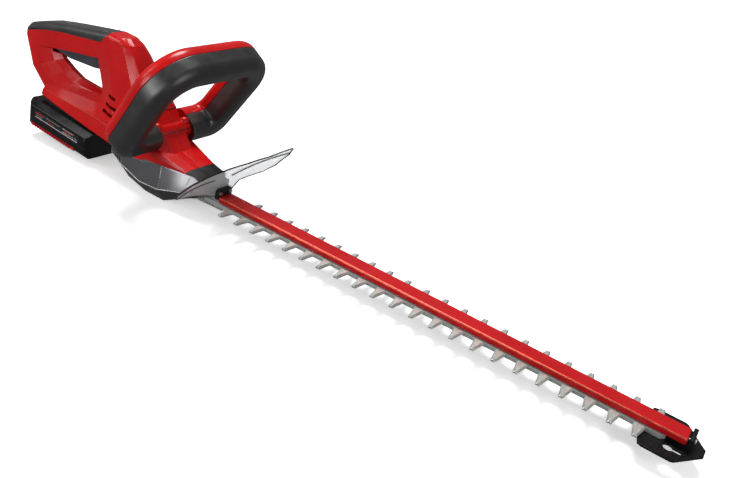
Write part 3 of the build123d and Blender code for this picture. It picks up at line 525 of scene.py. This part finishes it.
def add_guard_outline():
    """The dark line of light lost along the clear sheet's cut edge."""
    shape = rounded_shape("hand_guard")
    clamp_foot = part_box("guard_clamp_front")[0].z
    edges = []
    for edge in shape.edges:
        on_rim = any(is_guard_rim(face) for face in edge.link_faces)
        on_front = any(face.normal.x > SHEET_FACE for face in edge.link_faces)
        long_enough = edge.calc_length() > GUARD_EDGE_SHORTEST
        if on_rim and on_front and long_enough and min(v.co.z for v in edge.verts) > clamp_foot:
            edges.append(edge)
    runs = [run for run in chained(edges) if len(run) >= GUARD_FEWEST_POINTS]
    shape.free()
    add_tubes("guard_outline", runs, GUARD_LINE_RADIUS, GUARD_EDGE_SHADE, "housing")


def add_tubes(name, runs, radius, material, body):
    """Round lines along runs of points."""
    curve = bpy.data.curves.new(name, "CURVE")
    curve.dimensions = "3D"
    curve.bevel_depth = radius
    curve.bevel_resolution = 2
    curve.use_fill_caps = True
    for run in runs:
        spline = curve.splines.new("POLY")
        spline.points.add(len(run) - 1)
        for place, point in zip(spline.points, run):
            place.co = (*point, 1)
    curve.materials.append(material)
    piece = bpy.data.objects.new(name, curve)
    bpy.context.scene.collection.objects.link(piece)
    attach(piece, body)


def chained(edges):
    """Runs of points through edges that share ends."""
    left = dict.fromkeys(edges)
    runs = []
    while left:
        edge = next(iter(left))
        del left[edge]
        run = [edge.verts[0], edge.verts[1]]
        for _ in range(2):
            while True:
                following = [e for e in run[-1].link_edges if e in left]
                if not following:
                    break
                del left[following[0]]
                run.append(following[0].other_vert(run[-1]))
            run.reverse()
        runs.append([vertex.co.copy() for vertex in run])
    return runs


def add_return_spring():
    """The trigger's spring, a copy of its node that rides on the housing."""
    shape = bmesh.new()
    shape.from_mesh(NODES["trigger_spring"].data)
    piece = add_piece("coiled_trigger_spring", shape, STEEL, "housing")
    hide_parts("trigger_spring")
    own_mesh(piece)


# ---------------------------------------------------------------- ground teeth
TOOTH_PITCH = 25 * MM
TOOTH_COUNT = 22
HALF_ROOT = 6.25 * MM
HALF_TIP = 2.4 * MM
# Of a flank's slope, what a tip's sides and its end take.
TIP_SIDE_SHARE = 0.55
TIP_END_SHARE = 1.2
# The notch's share of a tip's width.
NOTCH_SHARE = 0.4
FLANK = 1.7 * MM
NOTCH = 1.1 * MM
ROOT_PAST_COVER = 1.7 * MM


def tooth_outline(x, side, root_y, tip_y, grow):
    """The outline of one tooth, its flanks and tip pulled in by grow."""
    half_root = HALF_ROOT - grow
    half_tip = HALF_TIP - grow * TIP_SIDE_SHARE
    tip = tip_y - grow * TIP_END_SHARE
    outline = [(-half_root, root_y), (-half_tip, tip), (-half_tip * NOTCH_SHARE, tip - NOTCH)]
    outline += [(-px, py) for px, py in reversed(outline)]
    return [(x + px, side * py) for px, py in outline]


def add_ground_teeth(blade, teeth):
    """The teeth of one blade: square at the shearing face, ground back towards the other."""
    low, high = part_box(teeth)
    upper = blade == "upper_blade"
    shear_z, back_z = (low.z, high.z) if upper else (high.z, low.z)
    root_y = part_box("cover_bar")[1].y + ROOT_PAST_COVER
    tip_y = high.y
    first_x = low.x + HALF_ROOT
    shape = bmesh.new()
    for index in range(TOOTH_COUNT):
        for side, shift in ((-1, 0), (1, 0.5)):
            x = first_x + (index + shift) * TOOTH_PITCH
            rings = []
            for z, grow in ((shear_z, 0), (back_z, FLANK)):
                outline = tooth_outline(x, side, root_y, tip_y, grow)
                rings.append([shape.verts.new((*point, z)) for point in outline])
            shear, back = rings
            shape.faces.new(shear)
            shape.faces.new(back)
            for i in range(len(shear)):
                j = (i + 1) % len(shear)
                shape.faces.new((shear[i], shear[j], back[j], back[i]))
    piece = add_piece("ground_" + teeth, shape, BLADE, blade)
    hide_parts(teeth)


# ---------------------------------------------------------------- battery label
SLAB_SUNK = 0.4 * MM


def battery_axes():
    """The battery's own axes at rest, forward and up, from its rail's direction."""
    slide = next(joint for joint in frame["joints"] if joint["name"] == "battery_slide")
    forward = -Vector(slide["axis"]).normalized()
    return forward, forward.cross(Vector((0, 1, 0)))


def slab_on_side(shape, side, x0, x1, z0, z1, proud):
    """A thin slab on the battery's side, by its place along and up from the lower case's middle."""
    forward, up = battery_axes()
    low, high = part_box("battery_case_lower")
    middle = (low + high) / 2
    half_width = (high.y - low.y) / 2
    corners = []
    for depth in (half_width - SLAB_SUNK, half_width + proud):
        for x, z in ((x0, z0), (x1, z0), (x1, z1), (x0, z1)):
            place = middle + forward * x * MM + up * z * MM
            corners.append(shape.verts.new((place.x, side * depth, place.z)))
    shape.faces.new(corners[:4])
    shape.faces.new(corners[4:])
    for i in range(4):
        j = (i + 1) % 4
        shape.faces.new((corners[i], corners[j], corners[4 + j], corners[4 + i]))


# Each mark: its material, how proud it stands, and its slabs from and to along, from and to up, in mm.
LABEL_MARKS = {
    "panel": (BATTERY_PANEL, 0.15, [(-46, 44, 8.2, 19.0)]),
    "white": (
        PRINT_WHITE, 0.22,
        [(-44, 42, 9.4, 10.2), (12, 34, 12.0, 12.5), (12, 34, 16.8, 17.3)],
    ),
    "red": (
        RIB_RED, 0.24,
        [(-43, -26, 15.2, 16.8), (16, 30, 14.2, 15.4), (-20, -6, 12.2, 13.2)],
    ),
    "grey": (
        PRINT_GREY, 0.24,
        [(-22, 6, 16.2, 17.0), (-43, -30, 12.4, 13.2), (36, 41, 12.6, 13.6)],
    ),
}


def add_battery_label():
    """A blank label on each side: a dark panel with plain stripes and blocks, no lettering."""
    for side, side_name in ((-1, "right"), (1, "left")):
        for mark, (material, proud, places) in LABEL_MARKS.items():
            shape = bmesh.new()
            for x0, x1, z0, z1 in places:
                slab_on_side(shape, side, x0, x1, z0, z1, proud * MM)
            add_piece(f"battery_label_{mark}_{side_name}", shape, material, "battery")


# ---------------------------------------------------------------- seams
def add_seam(name, node, point, normal, keep, radius, material):
    """A fine line where the plane through point cuts a node, kept where keep(midpoint) is true."""
    shape = bmesh.new()
    shape.from_mesh(NODES[node].data)
    bmesh.ops.remove_doubles(shape, verts=shape.verts, dist=SAME_POINT)
    geometry = shape.verts[:] + shape.edges[:] + shape.faces[:]
    cut = bmesh.ops.bisect_plane(shape, geom=geometry, plane_co=point, plane_no=normal)
    edges = [item for item in cut["geom_cut"] if isinstance(item, bmesh.types.BMEdge)]
    runs = chained(e for e in edges if keep((e.verts[0].co + e.verts[1].co) / 2))
    shape.free()
    add_tubes(name, runs, radius, material, NODES[node]["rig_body"])


# Where the two lines of the rear grip's panel meet.
PANEL_CORNER = (-0.3409, 0, 0.1709)

# The next functions say which part of a cut a seam keeps, by places in the row frame.


def on_neck_front(place):
    return place.x > -0.262 and place.z > 0.06 and abs(place.y) < 0.03


def on_deck_side(place):
    return -0.435 < place.x < -0.30 and abs(place.y) > 0.015


def on_left_wing(place):
    return place.y > 0.016


def on_right_wing(place):
    return place.y < -0.016


def on_grip_side(place):
    return -0.452 < place.x < PANEL_CORNER[0] and abs(place.y) > 0.010


def above_grip_panel(place):
    return place.z > PANEL_CORNER[2] and abs(place.y) > 0.006


# Seams of both housing halves, then of single nodes: each is its name, where its plane passes,
# the plane's normal, which part of the cut is kept, the line's radius and its material.
HOUSING_SEAMS = [
    ("neck_arc", (-0.238, 0, 0.106), (-0.35, 0, 1), on_neck_front, 0.7 * MM, SEAM),
    ("neck_collar", (-0.2, 0, 0.084), (0.1, 0, 1), on_neck_front, 0.6 * MM, SEAM),
    # The deck ledge line is a painted highlight, lighter red where the step's edge catches light.
    ("deck_ledge", (-0.37, 0, 0.0675), (0.013, 0, 1), on_deck_side, 0.5 * MM, DECK_EDGE_HIGHLIGHT),
]
# The guard's rib lines are painted shade, near-black where the clear sheet loses light.
GUARD_SEAMS = [
    ("guard_rib_left", (0, 0, 0.0513), (0, -0.227, 1), on_left_wing, 0.5 * MM, GUARD_EDGE_SHADE),
    ("guard_rib_right", (0, 0, 0.0544), (0, 0.09, 1), on_right_wing, 0.5 * MM, GUARD_EDGE_SHADE),
]
# The grip panel lines follow a real border, coloured lighter grey as a painted highlight.
GRIP_SEAMS = [
    ("grip_panel_edge", PANEL_CORNER, (-0.147, 0, 1), on_grip_side, 0.35 * MM, PANEL_EDGE_HIGHLIGHT),
    ("grip_panel_front", PANEL_CORNER, (-1, 0, 1), above_grip_panel, 0.35 * MM, PANEL_EDGE_HIGHLIGHT),
]


def add_seams():
    for node in ("housing_right", "housing_left"):
        for name, *details in HOUSING_SEAMS:
            add_seam(f"{name}_{node}", node, *details)
    for name, *details in GUARD_SEAMS:
        add_seam(name, "hand_guard", *details)
    for name, *details in GRIP_SEAMS:
        add_seam(name, "rear_grip", *details)


# ---------------------------------------------------------------- stage
STAGE_FLAT = 3.0
STAGE_STRIDE = 0.35
STAGE_STEPS = 32
STAGE_TURN = math.radians(85)
STAGE_SIDES = 96


def add_floor():
    """A pale floor that sweeps up into a round backdrop, out of the way of the light."""
    shape = bmesh.new()
    angles = [2 * math.pi * i / STAGE_SIDES for i in range(STAGE_SIDES)]
    rings = []
    radius, height = STAGE_FLAT, 0
    for step in range(STAGE_STEPS):
        ring = [(radius * math.cos(a), radius * math.sin(a), height) for a in angles]
        rings.append([shape.verts.new(point) for point in ring])
        turn = STAGE_TURN * (step / STAGE_STEPS) ** 2
        radius += STAGE_STRIDE * math.cos(turn)
        height += STAGE_STRIDE * math.sin(turn)
    shape.faces.new(rings[0])
    for inner, outer in zip(rings, rings[1:]):
        for i in range(STAGE_SIDES):
            j = (i + 1) % STAGE_SIDES
            shape.faces.new((inner[i], inner[j], outer[j], outer[i])).smooth = True
    mesh = bpy.data.meshes.new("studio_floor")
    shape.to_mesh(mesh)
    shape.free()
    mesh.materials.append(floor_material())
    floor = bpy.data.objects.new("studio_floor", mesh)
    bpy.context.scene.collection.objects.link(floor)
    floor.visible_diffuse = False
    floor.visible_glossy = False
    floor.visible_shadow = False


def add_light(name, place, target, size, power):
    """A soft rectangular light that faces a point."""
    light = bpy.data.lights.new(name, "AREA")
    light.shape = "RECTANGLE"
    light.size, light.size_y = size
    light.energy = power
    item = bpy.data.objects.new(name, light)
    item.location = place
    item.rotation_mode = "QUATERNION"
    item.rotation_quaternion = (Vector(target) - Vector(place)).to_track_quat("-Z", "Y")
    bpy.context.scene.collection.objects.link(item)


def add_sun(name, towards, strength, spread):
    """Even light over the whole floor, from one direction and as soft as its spread in degrees."""
    light = bpy.data.lights.new(name, "SUN")
    light.energy = strength
    light.angle = math.radians(spread)
    item = bpy.data.objects.new(name, light)
    item.rotation_mode = "QUATERNION"
    item.rotation_quaternion = (-Vector(towards)).to_track_quat("-Z", "Y")
    bpy.context.scene.collection.objects.link(item)


def add_lights():
    add_sun("key", (-0.35, 0.25, 1.0), 3.0, 26)
    add_light("front_right_softbox", (1.3, -0.5, 0.7), (-0.15, 0, 0.08), (0.5, 0.7), 6)
    add_light("left_softbox", (-1.3, -0.9, 0.9), (-0.3, 0, 0.1), (0.5, 0.7), 5)
    add_light("low_side_softbox", (-0.5, -1.4, 0.35), (-0.25, 0, 0.08), (0.9, 0.5), 9)
    world = bpy.data.worlds.new("studio")
    world.use_nodes = True
    world.node_tree.nodes["Background"].inputs["Color"].default_value = (1, 1, 1, 1)
    world.node_tree.nodes["Background"].inputs["Strength"].default_value = 0.2
    bpy.context.scene.world = world


def add_camera():
    """A camera at the front right, looking down along the bar to the handles."""
    camera = bpy.data.cameras.new("camera")
    camera.lens = CAMERA_LENS
    camera.sensor_width = 36
    camera.clip_start = 0.01
    item = bpy.data.objects.new("camera", camera)
    axes = Matrix((CAMERA_RIGHT, CAMERA_UP, CAMERA_BACK)).transposed().to_4x4()
    item.matrix_world = Matrix.Translation(CAMERA_PLACE) @ axes
    bpy.context.scene.collection.objects.link(item)
    bpy.context.scene.camera = item


bpy.context.scene.view_settings.view_transform = "Standard"
paint_nodes()
add_rounded_shells()
# Painted shade: the clear guard's rim faces get the near-black material.
paint_faces("hand_guard", GUARD_EDGE_SHADE, is_guard_rim)
# Painted shade: the gearcase faces that point down get the near-black material.
paint_faces("gearcase_cover", UNDERSIDE_SHADE, is_underside)
# Painted highlight along the cover bar's long rounded edges.
paint_faces("cover_bar", COVER_EDGE_HIGHLIGHT, is_bar_edge)
add_guard_outline()
add_gearcase_rim_highlight()
add_gearcase_creases()
add_return_spring()
add_ground_teeth("upper_blade", "upper_teeth")
add_ground_teeth("lower_blade", "lower_teeth")
add_battery_label()
add_seams()
add_floor()
add_lights()
add_camera()
